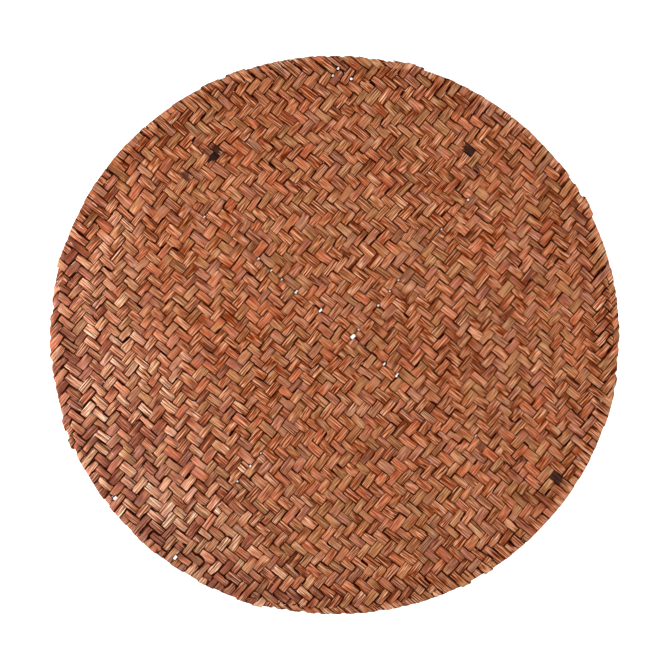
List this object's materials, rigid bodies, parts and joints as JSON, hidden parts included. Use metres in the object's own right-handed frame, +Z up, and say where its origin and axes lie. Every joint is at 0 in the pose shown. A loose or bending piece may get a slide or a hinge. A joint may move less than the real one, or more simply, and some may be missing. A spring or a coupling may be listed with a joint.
{
  "type": "round woven placemat",
  "caption": "Round flat table mat plaited in twill from dyed leaf strips, with strips turned back at a slightly raised, uneven rim.",
  "frame": {"origin": "middle of the underside, on the surface that the mat lies on", "axes": "+Z up out of the mat's upper face, +X to the right and +Y away from the diner as the mat is seen from above"},
  "size_m": [0.38, 0.3728, 0.003],
  "materials": {
    "dyed_palm_leaf": "dyed reddish brown leaf strip, satin with a fine lengthwise grain"
  },
  "bodies": {
    "root": {"mat": "dyed_palm_leaf"}
  },
  "joints": []
}
